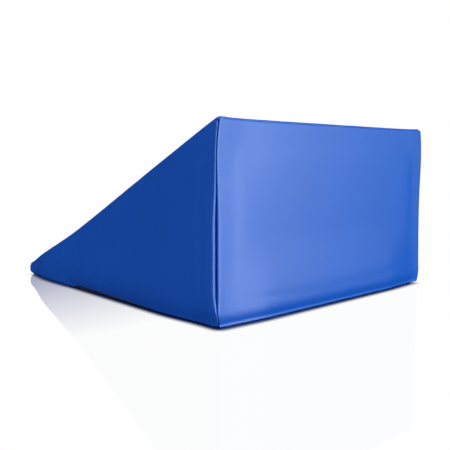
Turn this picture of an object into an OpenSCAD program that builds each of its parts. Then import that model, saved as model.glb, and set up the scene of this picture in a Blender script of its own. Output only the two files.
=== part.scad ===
// Incline wedge mat: one foam wedge in a sewn vinyl cover with a coil zip round its lower edge.
// Frame: X across the width, Y from the tall back face (-Y) to the thin toe (+Y), Z up from the floor.
// Across every face, "in" counts millimetres inward from the face's nominal outer surface.

/* [Wedge] */
// Width of the mat
mat_w = 610; // [400:1:900]
// Length on the floor, back face to toe
mat_l = 711; // [500:1:1000]
// Height of the back face
mat_h = 350; // [250:1:450]
// Radius of the rounded toe
toe_r = 12.5; // [12.5:0.5:20]

/* [Cover] */
// Thickness of the coated vinyl
vinyl_t = 0.8; // [0.6:0.1:1]
// Width of the turned-in seam allowances
seam_w = 10; // [8:1:10]
// Diameter of the sewing thread
thread_d = 0.8; // [0.4:0.1:0.8]
// Height over which the lower edge of the cover curves in
tuck_h = 30; // [26:1:40]

/* [Zip] */
// Height of the middle of the zip chain above the floor
chain_z = 5.4; // [5.4:0.1:6]
// Where the zip ends, as a share of the length measured from the toe
zip_from_toe = 0.31; // [0.2:0.01:0.35]
// Width of one coil
coil_w = 2.1; // [1.8:0.1:2.2]
// Thickness of the coils
coil_t = 1.6; // [1.2:0.1:1.6]
// Length of the slider's body
slider_l = 11; // [9:0.5:13]
// Length of the pull tab past its hinge
pull_l = 27; // [20:1:35]

/* [Hidden] */

// Colours
vinyl_blue = [0.16, 0.36, 0.80];
base_blue = [0.10, 0.24, 0.60];
foam_white = [0.93, 0.92, 0.86];
thread_blue = [0.10, 0.22, 0.55];
zip_black = [0.05, 0.05, 0.06];
zip_metal = [0.30, 0.31, 0.33];

// Layers of a closed seam, counted inward from the face
touch = 0.05;                                    // air between two layers of vinyl
fold_in = vinyl_t + touch;                       // the panel's own edge, folded back on itself
thread_gap = thread_d + 0.1;                     // room for the thread
thread_in = fold_in + vinyl_t + thread_gap / 2;
flange_in = fold_in + vinyl_t + thread_gap;      // the neighbouring panel's turned-in edge
seam_depth = flange_in + vinyl_t;
edge_depth = 1.3;                                // how far a seam's thread lies below the edge
foam_in = vinyl_t + 0.1;
foam_seam_in = seam_depth + 0.1;

// The lower edge of the cover, tucked in towards the zip
hem_z = 9.3;
hem_in = 4.4;
hem_end = 18;                                    // top of the hem's turned-up edge
hem_layer_in = 5.95;                             // the turned-up edge, against the zip tape
lip_z = flange_in;                               // where the front of a side panel meets the base
turn_in = 24;                                    // how far in the zip's corners have their centres

// Zip tapes and chain, counted inward
tape_out = 6.8;
tape_t = 0.8;
tape_in = tape_out + tape_t;
tape_end_in = 18;
tape_top = 21;
coil_out = tape_out - coil_t;
chain_gap = 0.7;
base_edge_in = 7.4;
tape_z = vinyl_t + touch;

// Slider and pull, counted inward, heights from the middle of the chain
slider_w = 7;
plate_t = 1.1;
plate_gap = 0.3;                                 // from the slider's plates to the coils and the tapes
front_plate_in = coil_out - plate_gap;
back_plate_in = tape_in + plate_gap;
flange_w = 0.85;
web_t = 0.4;
web_l = 3;
web_end = 1;                                     // from the web to the slider's leading edge
crown_w = 1.6;
crown_half = 3.8;
crown_foot = 1;
crown_top_in = 1.3;
crown_bar = 1;
pull_lift = 0.9;                                 // axis of the pull above the front plate
pull_axis_in = front_plate_in - plate_t - pull_lift;
pull_pin_r = 0.5;
pull_arm_r = 0.7;
pull_gap = 0.3;
pull_arm_w = 1.1;
pull_root = 5;
pull_w = 5;
pull_t = 1;
pull_lap = 0.6;                                  // how far the flat tab runs in between its arms

// Places along the length
back_y = -mat_l / 2;
toe_y = mat_l / 2;
zip_y = toe_y - mat_l * zip_from_toe;
stop_l = 3;
chain_end_y = zip_y - stop_l;
tape_tail = 12;
slider_gap = 0.4;                                // between the parked slider and the top stops
slider_y = chain_end_y - slider_gap - slider_l / 2;

// Straight incline from the top edge, tangent to the toe
toe_c = [toe_y - toe_r, toe_r];
apex = [back_y, mat_h];
incline_deg = atan2(mat_h - toe_c[1], toe_c[0] - back_y)
    - asin(toe_r / norm(toe_c - apex));

// Side outline, "in" inside the outer surface
function incline_z(y, in) = mat_h - tan(incline_deg) * (y - back_y) - in / cos(incline_deg);
function toe_arc(in, steps) = [
    for (i = [0 : steps])
        let (a = 90 - incline_deg - i / steps * (180 - incline_deg)) toe_c + (toe_r - in) * [cos(a), sin(a)]
];
function outline(in) = concat(
    [[back_y + in, in], [back_y + in, incline_z(back_y + in, in)]],
    toe_arc(in, 24)
);

// How far in the tucked lower edge lies at height z, and the inset of its rounded corner's centre
function tuck_in(z) = z < tuck_h ? hem_in * (tuck_h - z) / (tuck_h - hem_z) : 0;
function tuck_turn(z) = z < tuck_h ? turn_in * (tuck_h - z) / (tuck_h - hem_z) : 0;

// A point on the path round three sides: along the left side, the back, and the right side
function turn_points(side, in, turn, z) = [
    for (a = [0 : 11.25 : 90])
        let (t = side < 0 ? a : 90 - a)
            [side * (mat_w / 2 - turn + (turn - in) * cos(t)), back_y + turn - (turn - in) * sin(t), z]
];
function round_back(in, turn, z) = concat(
    [[-mat_w / 2 + in, zip_y, z]],
    turn_points(-1, in, turn, z),
    turn_points(1, in, turn, z),
    [[mat_w / 2 - in, zip_y, z]]
);

// Tube with eight sides along a path
function unit(v) = v / norm(v);
function heading(p, i) =
    unit((i < len(p) - 1 ? unit(p[i + 1] - p[i]) : [0, 0, 0]) + (i > 0 ? unit(p[i] - p[i - 1]) : [0, 0, 0]));
function ring_at(c, along, r, hint) =
    let (u = unit(cross(hint, along)), v = cross(along, u))
        [for (k = [0 : 7]) c + r * (cos(45 * k + 22.5) * u + sin(45 * k + 22.5) * v)];
module tube(path, d, hint) {
    n = len(path);
    points = [for (i = [0 : n - 1]) each ring_at(path[i], heading(path, i), d / 2, hint)];
    walls = [
        for (i = [0 : n - 2], k = [0 : 7])
            [8 * (i + 1) + k, 8 * (i + 1) + (k + 1) % 8, 8 * i + (k + 1) % 8, 8 * i + k]
    ];
    ends = [[for (k = [0 : 7]) k], [for (k = [7 : -1 : 0]) 8 * (n - 1) + k]];
    polyhedron(points, concat(walls, ends));
}

// Side outline as a slab between two distances from the middle of the mat
module side_slab(in, x0, x1) {
    translate([x0, 0, 0]) rotate([90, 0, 90]) linear_extrude(x1 - x0) polygon(outline(in));
}

// Envelope of the cover with its tucked, round-cornered lower edge, "in" inside the outer surface
module envelope(in) {
    floor_in = tuck_in(0) + in;
    corner_r = tuck_turn(0) - tuck_in(0) - in;
    hull() {
        translate([-mat_w / 2 + in, back_y + in, tuck_h])
            cube([mat_w - 2 * in, mat_l, mat_h]);
        translate([-mat_w / 2 + floor_in, toe_y, 0])
            cube([mat_w - 2 * floor_in, in + 1, 1]);
        for (side = [-1, 1])
            translate([side * (mat_w / 2 - tuck_turn(0)), back_y + tuck_turn(0), 0])
                cylinder(r = corner_r, h = 0.01, $fn = 32);
    }
}

// A profile drawn as (-in, z) and carried along the zip's three runs and two corners
module along_zip(tail) {
    run_l = zip_y + tail - back_y - turn_in;
    for (side = [-1, 1]) {
        translate([side * mat_w / 2, side > 0 ? back_y + turn_in + run_l : back_y + turn_in, 0])
            rotate([90, 0, side > 0 ? 0 : 180]) linear_extrude(run_l) children();
        translate([side * (mat_w / 2 - turn_in), back_y + turn_in, 0])
            rotate([0, 0, side > 0 ? -90 : 180])
                rotate_extrude(angle = 90, $fn = 96) translate([turn_in, 0]) children();
    }
    translate([-mat_w / 2 + turn_in, back_y, 0])
        rotate([90, 0, -90]) mirror([0, 0, 1]) linear_extrude(mat_w - 2 * turn_in) children();
}

// Rectangle between two distances in and two heights, for along_zip
module layer(out, in, z0, z1) {
    translate([-in, z0]) square([in - out, z1 - z0]);
}

// Space nearer to a side than to the back, split where the two faces mitre
module side_of_mitre(side, play) {
    translate([side * mat_w / 2, back_y, -1])
        linear_extrude(mat_h + 2)
            polygon([[side * 5, -5 + play], [side * 5, mat_l + 10], [-side * mat_w / 2, mat_l + 10],
                     [-side * mat_w / 2, mat_w / 2 + play]]);
}

// The tucked lower edge of the cover between two heights
module tucked_skin(z0) {
    difference() {
        envelope(0);
        envelope(vinyl_t);
        translate([-mat_w, -mat_l, tuck_h]) cube([2 * mat_w, 2 * mat_l, mat_h]);
        translate([-mat_w, -mat_l, -1]) cube([2 * mat_w, 2 * mat_l, 1 + z0]);
    }
}

// Foam wedge, relieved along its edges for the seams and the zip
module foam_core() {
    relief_w = seam_w + 2;
    top_relief = seam_w + 5;
    zip_relief = 14;
    tape_relief = 22;
    base_relief_h = seam_depth + 0.1;
    color(foam_white) difference() {
        union() {
            side_slab(foam_in, -mat_w / 2 + foam_seam_in, mat_w / 2 - foam_seam_in);
            side_slab(relief_w, -mat_w / 2 + foam_in, mat_w / 2 - foam_in);
        }
        // seam allowances at the top edge
        translate([-mat_w, back_y - 1, mat_h - top_relief])
            cube([2 * mat_w, 1 + foam_seam_in, top_relief + 1]);
        // zip along the lower edges, with the base's tapes and seams under it
        for (side = [-1, 1]) {
            translate([side * mat_w / 2 - zip_relief, -mat_l, -1])
                cube([2 * zip_relief, 2 * mat_l, 1 + tuck_h]);
            translate([side * mat_w / 2 - tape_relief, -mat_l, -1])
                cube([2 * tape_relief, 2 * mat_l, 1 + base_relief_h]);
        }
        translate([-mat_w, back_y - 1, -1]) cube([2 * mat_w, 1 + zip_relief, 1 + tuck_h]);
        translate([-mat_w, back_y - 1, -1]) cube([2 * mat_w, 1 + tape_relief, 1 + base_relief_h]);
        translate([-mat_w, toe_c[0] - relief_w, -1]) cube([2 * mat_w, 2 * relief_w, 1 + base_relief_h]);
    }
}

// Walking surface: top edge, incline and toe in one piece of vinyl
module incline_panel() {
    half = mat_w / 2 - flange_in;
    top_y = back_y + flange_in;
    base_clear_h = 3.5;
    color(vinyl_blue) intersection() {
        difference() {
            union() {
                difference() {
                    side_slab(0, -half, half);
                    side_slab(vinyl_t, -mat_w, mat_w);
                }
                // turned-in edges along both sides
                for (side = [-1, 1]) difference() {
                    side_slab(0, side > 0 ? half - vinyl_t : -half, side > 0 ? half : -half + vinyl_t);
                    side_slab(seam_w, -mat_w, mat_w);
                }
                // turned-in edges at the top and under the toe
                translate([-half, top_y, mat_h - seam_w - 4]) cube([2 * half, vinyl_t, seam_w + 2]);
                translate([-half, toe_c[0] - seam_w, flange_in]) cube([2 * half, seam_w, vinyl_t]);
                translate([-half, toe_c[0] - vinyl_t, 0]) cube([2 * half, vinyl_t, seam_depth]);
            }
            translate([-mat_w, back_y - 1, -1]) cube([2 * mat_w, 1 + flange_in, mat_h + 2]);
            // open under the incline, where the base panel closes the cover
            translate([-mat_w, back_y - 1, -1])
                cube([2 * mat_w, mat_l - toe_r + 1 - seam_w, 1 + base_clear_h]);
            translate([-mat_w, toe_c[0] - seam_w - 1, -1])
                cube([2 * mat_w, seam_w + 1 - vinyl_t, 1 + flange_in]);
            // open inside the back face
            translate([-mat_w, back_y, -1])
                cube([2 * mat_w, flange_in + seam_w + 1, mat_h - seam_w - 6]);
        }
        envelope(flange_in);
    }
}

// Tall back face, folded back along its four edges
module back_panel() {
    half = mat_w / 2 - flange_in;
    side_flange_top = mat_h - seam_w - 8;
    color(vinyl_blue) {
        translate([-half, back_y, tuck_h]) cube([2 * half, vinyl_t, mat_h - tuck_h]);
        translate([-half, back_y + fold_in, mat_h - seam_w]) cube([2 * half, vinyl_t, seam_w]);
        translate([-half, back_y, mat_h - vinyl_t]) cube([2 * half, fold_in + vinyl_t, vinyl_t]);
        for (side = [-1, 1])
            translate([side > 0 ? half - vinyl_t : -half, back_y, tuck_h])
                cube([vinyl_t, seam_w, side_flange_top - tuck_h]);
        difference() {
            union() {
                tucked_skin(hem_z);
                hem();
            }
            for (side = [-1, 1]) side_of_mitre(side, -touch);
        }
    }
}

// Lower edge of the cover turned in and up, against the upper zip tape
module hem() {
    along_zip(0) {
        layer(hem_in, hem_layer_in + vinyl_t, hem_z, hem_z + vinyl_t);
        layer(hem_layer_in, hem_layer_in + vinyl_t, hem_z, hem_end);
    }
}

// Upright side, folded back along the incline, the toe and the back
module side_panel(side) {
    outer = mat_w / 2;
    inner = outer - fold_in - vinyl_t;
    color(vinyl_blue) {
        intersection() {
            union() {
                side_slab(0, side > 0 ? outer - vinyl_t : -outer, side > 0 ? outer : -outer + vinyl_t);
                difference() {
                    side_slab(0, side > 0 ? inner : -inner - vinyl_t, side > 0 ? inner + vinyl_t : -inner);
                    side_slab(seam_w, -mat_w, mat_w);
                }
                difference() {
                    side_slab(0, side > 0 ? inner : -outer, side > 0 ? outer : -inner);
                    side_slab(vinyl_t, -mat_w, mat_w);
                }
            }
            translate([-mat_w, -mat_l, tuck_h]) cube([2 * mat_w, 2 * mat_l, mat_h]);
        }
        // tucked edge above the zip, and down to the base in front of it
        intersection() {
            union() {
                tucked_skin(hem_z);
                hem();
            }
            side_of_mitre(side, touch);
            side_slab(0, -mat_w, mat_w);
        }
        intersection() {
            tucked_skin(lip_z);
            side_slab(0, -mat_w, mat_w);
            translate([side > 0 ? 0 : -mat_w, zip_y + tape_tail, 0]) cube([mat_w, mat_l, tuck_h]);
        }
        lip_in = tuck_in(lip_z);
        translate([side > 0 ? outer - lip_in - seam_w : -outer + lip_in, zip_y + tape_tail, lip_z])
            cube([seam_w, toe_c[0] - seam_w - 1 - zip_y - tape_tail, vinyl_t]);
    }
}

module side_panel_left() {
    side_panel(-1);
}

module side_panel_right() {
    side_panel(1);
}

// Underside, round-cornered at the back, folded back at the toe and in front of the zip
module base_panel() {
    half = mat_w / 2 - base_edge_in;
    corner_r = turn_in - base_edge_in;
    front_y = toe_c[0] - vinyl_t - touch;
    color(base_blue) {
        linear_extrude(vinyl_t) union() {
            translate([-half, back_y + turn_in]) square([2 * half, front_y - back_y - turn_in]);
            translate([-mat_w / 2 + turn_in, back_y + base_edge_in]) square([mat_w - 2 * turn_in, turn_in]);
            for (side = [-1, 1])
                translate([side * (mat_w / 2 - turn_in), back_y + turn_in]) circle(r = corner_r, $fn = 96);
        }
        translate([-half, front_y - seam_w, fold_in]) cube([2 * half, seam_w, vinyl_t]);
        translate([-half, front_y - vinyl_t, 0]) cube([2 * half, vinyl_t, fold_in + vinyl_t]);
        for (side = [-1, 1]) {
            translate([side > 0 ? half - seam_w : -half, zip_y + tape_tail + 1, fold_in])
                cube([seam_w, front_y - zip_y - tape_tail - 1, vinyl_t]);
            translate([side > 0 ? half - vinyl_t : -half, zip_y + tape_tail + 1, 0])
                cube([vinyl_t, front_y - zip_y - tape_tail - 1, fold_in + vinyl_t]);
        }
    }
}

// Thread of the seam between a side panel and the incline, from the top edge to the toe
module thread_incline(side) {
    top_y = back_y + foam_seam_in;
    tuck_y = back_y + (mat_h - tuck_h - edge_depth / cos(incline_deg)) / tan(incline_deg);
    path = concat(
        [[top_y, incline_z(top_y, edge_depth)], [tuck_y, incline_z(tuck_y, edge_depth)]],
        [for (p = toe_arc(edge_depth, 8)) if (p[1] > 2 * edge_depth) p]
    );
    points = [for (p = path) [side * (mat_w / 2 - thread_in - tuck_in(p[1])), p[0], p[1]]];
    color(thread_blue) tube(points, thread_d, [1, 0, 0]);
}

module thread_incline_left() {
    thread_incline(-1);
}

module thread_incline_right() {
    thread_incline(1);
}

// Thread of an upright seam between a side panel and the back panel
module thread_back(side) {
    x = side * (mat_w / 2 - thread_in);
    y = back_y + edge_depth;
    color(thread_blue)
        tube([[x, y, tuck_h + 1], [x, y, mat_h - seam_w]], thread_d, [1, 0, 0]);
}

module thread_back_left() {
    thread_back(-1);
}

module thread_back_right() {
    thread_back(1);
}

// Thread of the seam between the back panel and the incline
module thread_top_edge() {
    half = mat_w / 2 - seam_depth - 1;
    y = back_y + thread_in;
    color(thread_blue)
        tube([[-half, y, mat_h - 2 * edge_depth], [half, y, mat_h - 2 * edge_depth]], thread_d, [0, 0, 1]);
}

// Thread of the seam between the incline and the base, under the toe
module thread_toe() {
    half = mat_w / 2 - turn_in;
    color(thread_blue)
        tube([[-half, toe_c[0] - 2, thread_in], [half, toe_c[0] - 2, thread_in]], thread_d, [0, 0, 1]);
}

// Thread of the seam between a side panel and the base, in front of the zip
module thread_base(side) {
    x = side * (mat_w / 2 - base_edge_in - edge_depth);
    start_y = zip_y + tape_tail + 2;
    end_y = toe_c[0] - seam_w - 2;
    color(thread_blue)
        tube([[x, start_y, thread_in], [x, end_y, thread_in]], thread_d, [0, 0, 1]);
}

module thread_base_left() {
    thread_base(-1);
}

module thread_base_right() {
    thread_base(1);
}

// Topstitching that holds the hem to the upper tape, on the outside of the cover
module thread_zip_upper() {
    z = 13;
    in = tuck_in(z) - thread_d / 2 - 3 * touch;
    color(thread_blue) tube(round_back(in, tuck_turn(z), z), thread_d, [0, 0, 1]);
}

// Stitching that holds the lower tape to the base, inside the cover
module thread_zip_lower() {
    z = tape_z + tape_t + thread_d / 2 + touch;
    stitch_in = 13;
    color(thread_blue) tube(round_back(stitch_in, turn_in, z), thread_d, [0, 0, 1]);
}

module zip_tape_upper() {
    color(zip_black) along_zip(tape_tail) layer(tape_out, tape_in, chain_z + chain_gap / 2, tape_top);
}

module zip_tape_lower() {
    color(zip_black) along_zip(tape_tail) {
        layer(tape_out, tape_in, tape_z, chain_z - chain_gap / 2);
        layer(tape_out, tape_end_in, tape_z, tape_z + tape_t);
    }
}

module zip_coil_upper() {
    color(zip_black) along_zip(-stop_l)
        layer(coil_out, tape_out, chain_z + chain_gap / 2, chain_z + chain_gap / 2 + coil_w);
}

module zip_coil_lower() {
    color(zip_black) along_zip(-stop_l)
        layer(coil_out, tape_out, chain_z - chain_gap / 2 - coil_w, chain_z - chain_gap / 2);
}

// Crimped stops, one on each tape, where the closed slider parks
module zip_top_stops() {
    stop_w = 1.9;
    color(zip_metal) for (stop_z = [chain_gap / 2, -chain_gap / 2 - stop_w])
        translate([mat_w / 2 - tape_out, chain_end_y, chain_z + stop_z])
            cube([coil_t, stop_l, stop_w]);
}

// Crimped stop across both tapes at the far end
module zip_bottom_stop() {
    stop_w = 2 * coil_w + chain_gap;
    color(zip_metal)
        translate([-mat_w / 2 + tape_out - coil_t, chain_end_y, chain_z - stop_w / 2])
            cube([coil_t, stop_l, stop_w]);
}

// Slider: two plates joined by a web between the coils, with a crown for the pull
module zip_slider() {
    x = mat_w / 2;
    color(zip_metal) translate([x, slider_y, chain_z]) {
        for (in = [front_plate_in, back_plate_in + plate_t])
            translate([-in, -slider_l / 2, -slider_w / 2]) cube([plate_t, slider_l, slider_w]);
        for (flange_z = [-slider_w / 2, slider_w / 2 - flange_w])
            translate([-tape_out + plate_gap, -slider_l / 2, flange_z])
                cube([tape_out - plate_gap - front_plate_in, slider_l, flange_w]);
        translate([-back_plate_in - plate_t / 2, slider_l / 2 - web_end - web_l, -web_t / 2])
            cube([back_plate_in - front_plate_in + plate_t, web_l, web_t]);
        for (foot_y = [-crown_half, crown_half - crown_foot])
            translate([-front_plate_in + plate_t, foot_y, -crown_w / 2])
                cube([front_plate_in - plate_t - crown_top_in, crown_foot, crown_w]);
        translate([-crown_top_in - crown_bar, -crown_half, -crown_w / 2])
            cube([crown_bar, 2 * crown_half, crown_w]);
    }
}

// Pull: round pin under the crown, two arms and a flat tab, lying along the closed chain
module zip_pull() {
    arm_in = crown_w / 2 + pull_gap;
    arm_out = arm_in + pull_arm_w;
    color(zip_metal) translate([mat_w / 2 - pull_axis_in, slider_y, chain_z]) {
        cylinder(r = pull_pin_r, h = 2 * arm_out, center = true, $fn = 48);
        for (up = [-1, 1]) {
            translate([0, 0, up > 0 ? arm_in : -arm_out]) {
                cylinder(r = pull_arm_r, h = pull_arm_w, $fn = 48);
                translate([-pull_arm_r, -pull_root, 0]) cube([2 * pull_arm_r, pull_root, pull_arm_w]);
            }
        }
        translate([-pull_t / 2, -pull_l + pull_w / 2, 0]) {
            translate([0, 0, -pull_w / 2]) cube([pull_t, pull_l - pull_w / 2 - pull_root + pull_lap, pull_w]);
            rotate([0, 90, 0]) cylinder(d = pull_w, h = pull_t, $fn = 48);
        }
    }
}

foam_core();
incline_panel();
back_panel();
side_panel_left();
side_panel_right();
base_panel();
thread_incline_left();
thread_incline_right();
thread_back_left();
thread_back_right();
thread_top_edge();
thread_toe();
thread_base_left();
thread_base_right();
thread_zip_upper();
thread_zip_lower();
zip_tape_upper();
zip_tape_lower();
zip_coil_upper();
zip_coil_lower();
zip_top_stops();
zip_bottom_stop();
zip_slider();
zip_pull();
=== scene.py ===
import math

import bpy
import numpy as np
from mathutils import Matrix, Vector


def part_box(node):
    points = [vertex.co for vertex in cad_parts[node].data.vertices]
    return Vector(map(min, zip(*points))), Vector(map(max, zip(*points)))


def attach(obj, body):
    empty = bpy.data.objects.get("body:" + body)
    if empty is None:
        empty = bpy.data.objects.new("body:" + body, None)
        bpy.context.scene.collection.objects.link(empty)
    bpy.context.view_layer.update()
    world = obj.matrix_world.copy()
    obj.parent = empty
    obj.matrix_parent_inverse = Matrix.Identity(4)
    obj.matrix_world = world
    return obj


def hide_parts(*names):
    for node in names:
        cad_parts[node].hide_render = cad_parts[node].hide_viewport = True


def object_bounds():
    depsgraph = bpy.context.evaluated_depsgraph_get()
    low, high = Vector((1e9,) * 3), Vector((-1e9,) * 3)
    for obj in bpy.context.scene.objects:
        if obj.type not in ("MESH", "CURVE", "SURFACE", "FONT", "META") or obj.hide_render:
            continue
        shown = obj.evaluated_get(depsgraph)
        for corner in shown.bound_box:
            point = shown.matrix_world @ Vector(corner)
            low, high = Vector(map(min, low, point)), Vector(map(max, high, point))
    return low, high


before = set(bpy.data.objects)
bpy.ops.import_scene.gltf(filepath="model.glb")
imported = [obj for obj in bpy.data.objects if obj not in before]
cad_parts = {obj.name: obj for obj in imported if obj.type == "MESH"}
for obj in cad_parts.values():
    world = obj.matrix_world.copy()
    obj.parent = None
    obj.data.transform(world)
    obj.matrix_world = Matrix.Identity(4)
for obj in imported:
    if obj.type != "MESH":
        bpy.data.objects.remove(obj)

cad_low, cad_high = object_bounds()
MM = 0.001

# ---------------------------------------------------------------- sizes, from the frame
HALF_W = cad_high.x
BACK_Y = cad_low.y
TOE_Y = cad_high.y
TOP_Z = cad_high.z
TOE_R = 12.5 * MM
TOE_C = (TOE_Y - TOE_R, TOE_R)
SLOPE = math.atan2(TOP_Z - TOE_R, TOE_C[0] - BACK_Y) - math.asin(
    TOE_R / math.hypot(TOE_C[0] - BACK_Y, TOP_Z - TOE_R)
)
SLOPE_UP = np.array([0.0, math.sin(SLOPE), math.cos(SLOPE)])
SLOPE_DOWN = np.array([0.0, math.cos(SLOPE), -math.sin(SLOPE)])

VINYL_T = 0.8 * MM
FLAP = 8 * MM                       # turned-in seam allowance
SEAM_R = 2 * MM                     # roll of the vinyl into a closed seam
SIDE_SEAM_R = 5.5 * MM              # the same on the side panels' upright seams
SEAM_GAP = 0.12 * MM                # half the gap between two turned-in allowances
ROLL_STEPS = 6
ON_EDGE = 1e-4                      # a grid point this near to u or v of 0 or 1 is on the border
CLOTH_FRAMES = 20
STITCH_PITCH = 3.6 * MM

tape_low, tape_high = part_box("zip_tape_upper")
foot_low, foot_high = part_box("zip_tape_lower")
upper_low, upper_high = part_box("zip_coil_upper")
lower_low, lower_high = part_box("zip_coil_lower")
hem_low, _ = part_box("back_panel")
HEM_Z = hem_low.z                   # lowest point of the hem over the zip
HEM_IN = 4.4 * MM                   # how far in that hem lies
HEM_R = 0.9 * MM                    # fold of the hem
HEM_FLAP = 8.7 * MM                 # the hem's turned-up edge
TUCK_Z = 30 * MM                    # where the cover starts to curve in to the hem
TAPE_IN = HALF_W - tape_high.x
TAPE_END_Y = tape_high.y
TAIL = 12 * MM                      # how far the tapes run on past the chain's opening
ZIP_Y = TAPE_END_Y - TAIL
ZIP_TURN = 24 * MM                  # inset of the centres of the zip's round corners
CORNER_R = 6 * MM                   # rounding in plan of the cover's corners at the hem
CORNER_Z = 16 * MM                  # height at which that rounding starts
FRONT_TUCK = 5 * MM                 # how far the sides turn under in front of the zip
LEFT_EARLY = 25 * MM                # how much sooner the left side's lower edge closes over the zip's end
HEM_HANG = 5 * MM                   # how much lower the hem hangs along the back than at the zip's ends
PROUD = 2.2 * MM                    # how far the filled cover stands off the straight wedge
SAG = 6.2 * MM                      # depth of the incline's hollow
TOE_FILL = 3.4 * MM                 # how much fuller the incline is at the toe
SAG_REACH = 70 * MM                 # depth over which the sag fades inside the wedge
TOE_GROW = 7 * MM                   # how much longer the toe is
FLARE_LEFT = 9 * MM                 # how far the lower part of each face stands out
FLARE_RIGHT = 7 * MM
FLARE_RIGHT_FRONT = 3 * MM
FLARE_BACK = 6 * MM
SIDE_RIDGE = 3.8 * MM               # bow of the sides beside the upright seams
RIDGE_AT = 19 * MM                  # how far from the seam it is highest
APEX_IN = 6 * MM                    # pinch of the top corners
APEX_UP = 3.5 * MM                  # and how far they point up
HEM_RIDGE = 0.5 * MM                # ridge of the doubled hem
HOLLOW = 1.5 * MM                   # shallow hollow beside the near top corner
FACE_L = (TOE_C[0] + TOE_R * math.sin(SLOPE) - BACK_Y) / math.cos(SLOPE)


# ---------------------------------------------------------------- shape of the filled cover
def smooth(t):
    t = np.clip(t, 0.0, 1.0)
    return t * t * (3 - 2 * t)


def hump(t, middle, before, after):
    """1 at the middle, falling away over the two distances."""
    return np.exp(-(((t - middle) / np.where(t < middle, before, after)) ** 2))


def waves(t, lengths, seed):
    """Uneven waviness between about -1 and 1, from a few sine waves of the given lengths."""
    total = np.zeros_like(t)
    for k, length in enumerate(lengths):
        total += np.sin(2 * math.pi * t / length + 2.4 * seed + 1.7 * k * k + 0.9 * k)
    return total / len(lengths) ** 0.75


def incline_z(y):
    return TOP_Z - math.tan(SLOPE) * (y - BACK_Y)


def sag(y):
    """How far the incline stands off the straight wedge: a hollow above the toe, and a fuller toe."""
    return -SAG * hump(y, 0.1, 0.23, 0.14) + TOE_FILL * smooth((y - 0.25) / 0.1)


def on_face(distance):
    """1 near a face of the wedge, falling to 0 deeper in."""
    return 1 - smooth((distance - 12 * MM) / (25 * MM))


def corner_rounded(inset, behind, r, reach=1.0):
    """Distances in from the side and the back, with their corner rounded in plan."""
    u = np.clip(1 - inset / r, 0, reach)
    v = np.clip(1 - behind / r, 0, reach)
    both = (u > 0) & (v > 0)
    new_inset = r * (1 - u * np.sqrt(1 - np.clip(v, 0, 1) ** 2 / 2))
    new_behind = r * (1 - v * np.sqrt(1 - np.clip(u, 0, 1) ** 2 / 2))
    return np.where(both, new_inset, inset), np.where(both, new_behind, behind)


def zip_share(x, y):
    """1 where the lower edge is open for the zip, falling to 0 where the side is sewn to the base."""
    early = np.where(x < 0, LEFT_EARLY, 0)
    return 1 - smooth((y - ZIP_Y + 2 * MM + early) / (14 * MM))


def flare(points):
    """The lower part of the cover stands out between the corners."""
    x, y, z = points.T.copy()
    inset = HALF_W - np.abs(x)
    behind = y - BACK_Y
    low = 1 - smooth((z - 12 * MM) / 0.115)
    along = smooth((y + 0.325) / 0.13) * (1 - smooth((y - 0.25) / 0.085))
    left = FLARE_LEFT * along * low
    front = smooth((y - 0.02) / 0.07)
    right = FLARE_RIGHT * (0.9 + 0.1 * along) * (1 - front) * low
    right += FLARE_RIGHT_FRONT * front * (1 - smooth((y - 0.25) / 0.085)) * low
    # The zip itself runs straight as far as the slider travels
    corner = (1 - smooth(behind / (14 * MM))) * smooth((z + 2 * MM) / (8 * MM))
    right *= np.maximum(smooth((z - 8 * MM) / (30 * MM)), corner)
    side_w = 1 - smooth((inset - 20 * MM) / 0.06)
    x += np.where(x < 0, -left, right) * side_w
    out = FLARE_BACK * smooth((0.3 - np.abs(x)) / 0.12) * (1 - smooth((z - 12 * MM) / 0.15))
    y -= out * (1 - smooth((behind - 20 * MM) / 0.06))
    return np.stack([x, y, z], 1)


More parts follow.
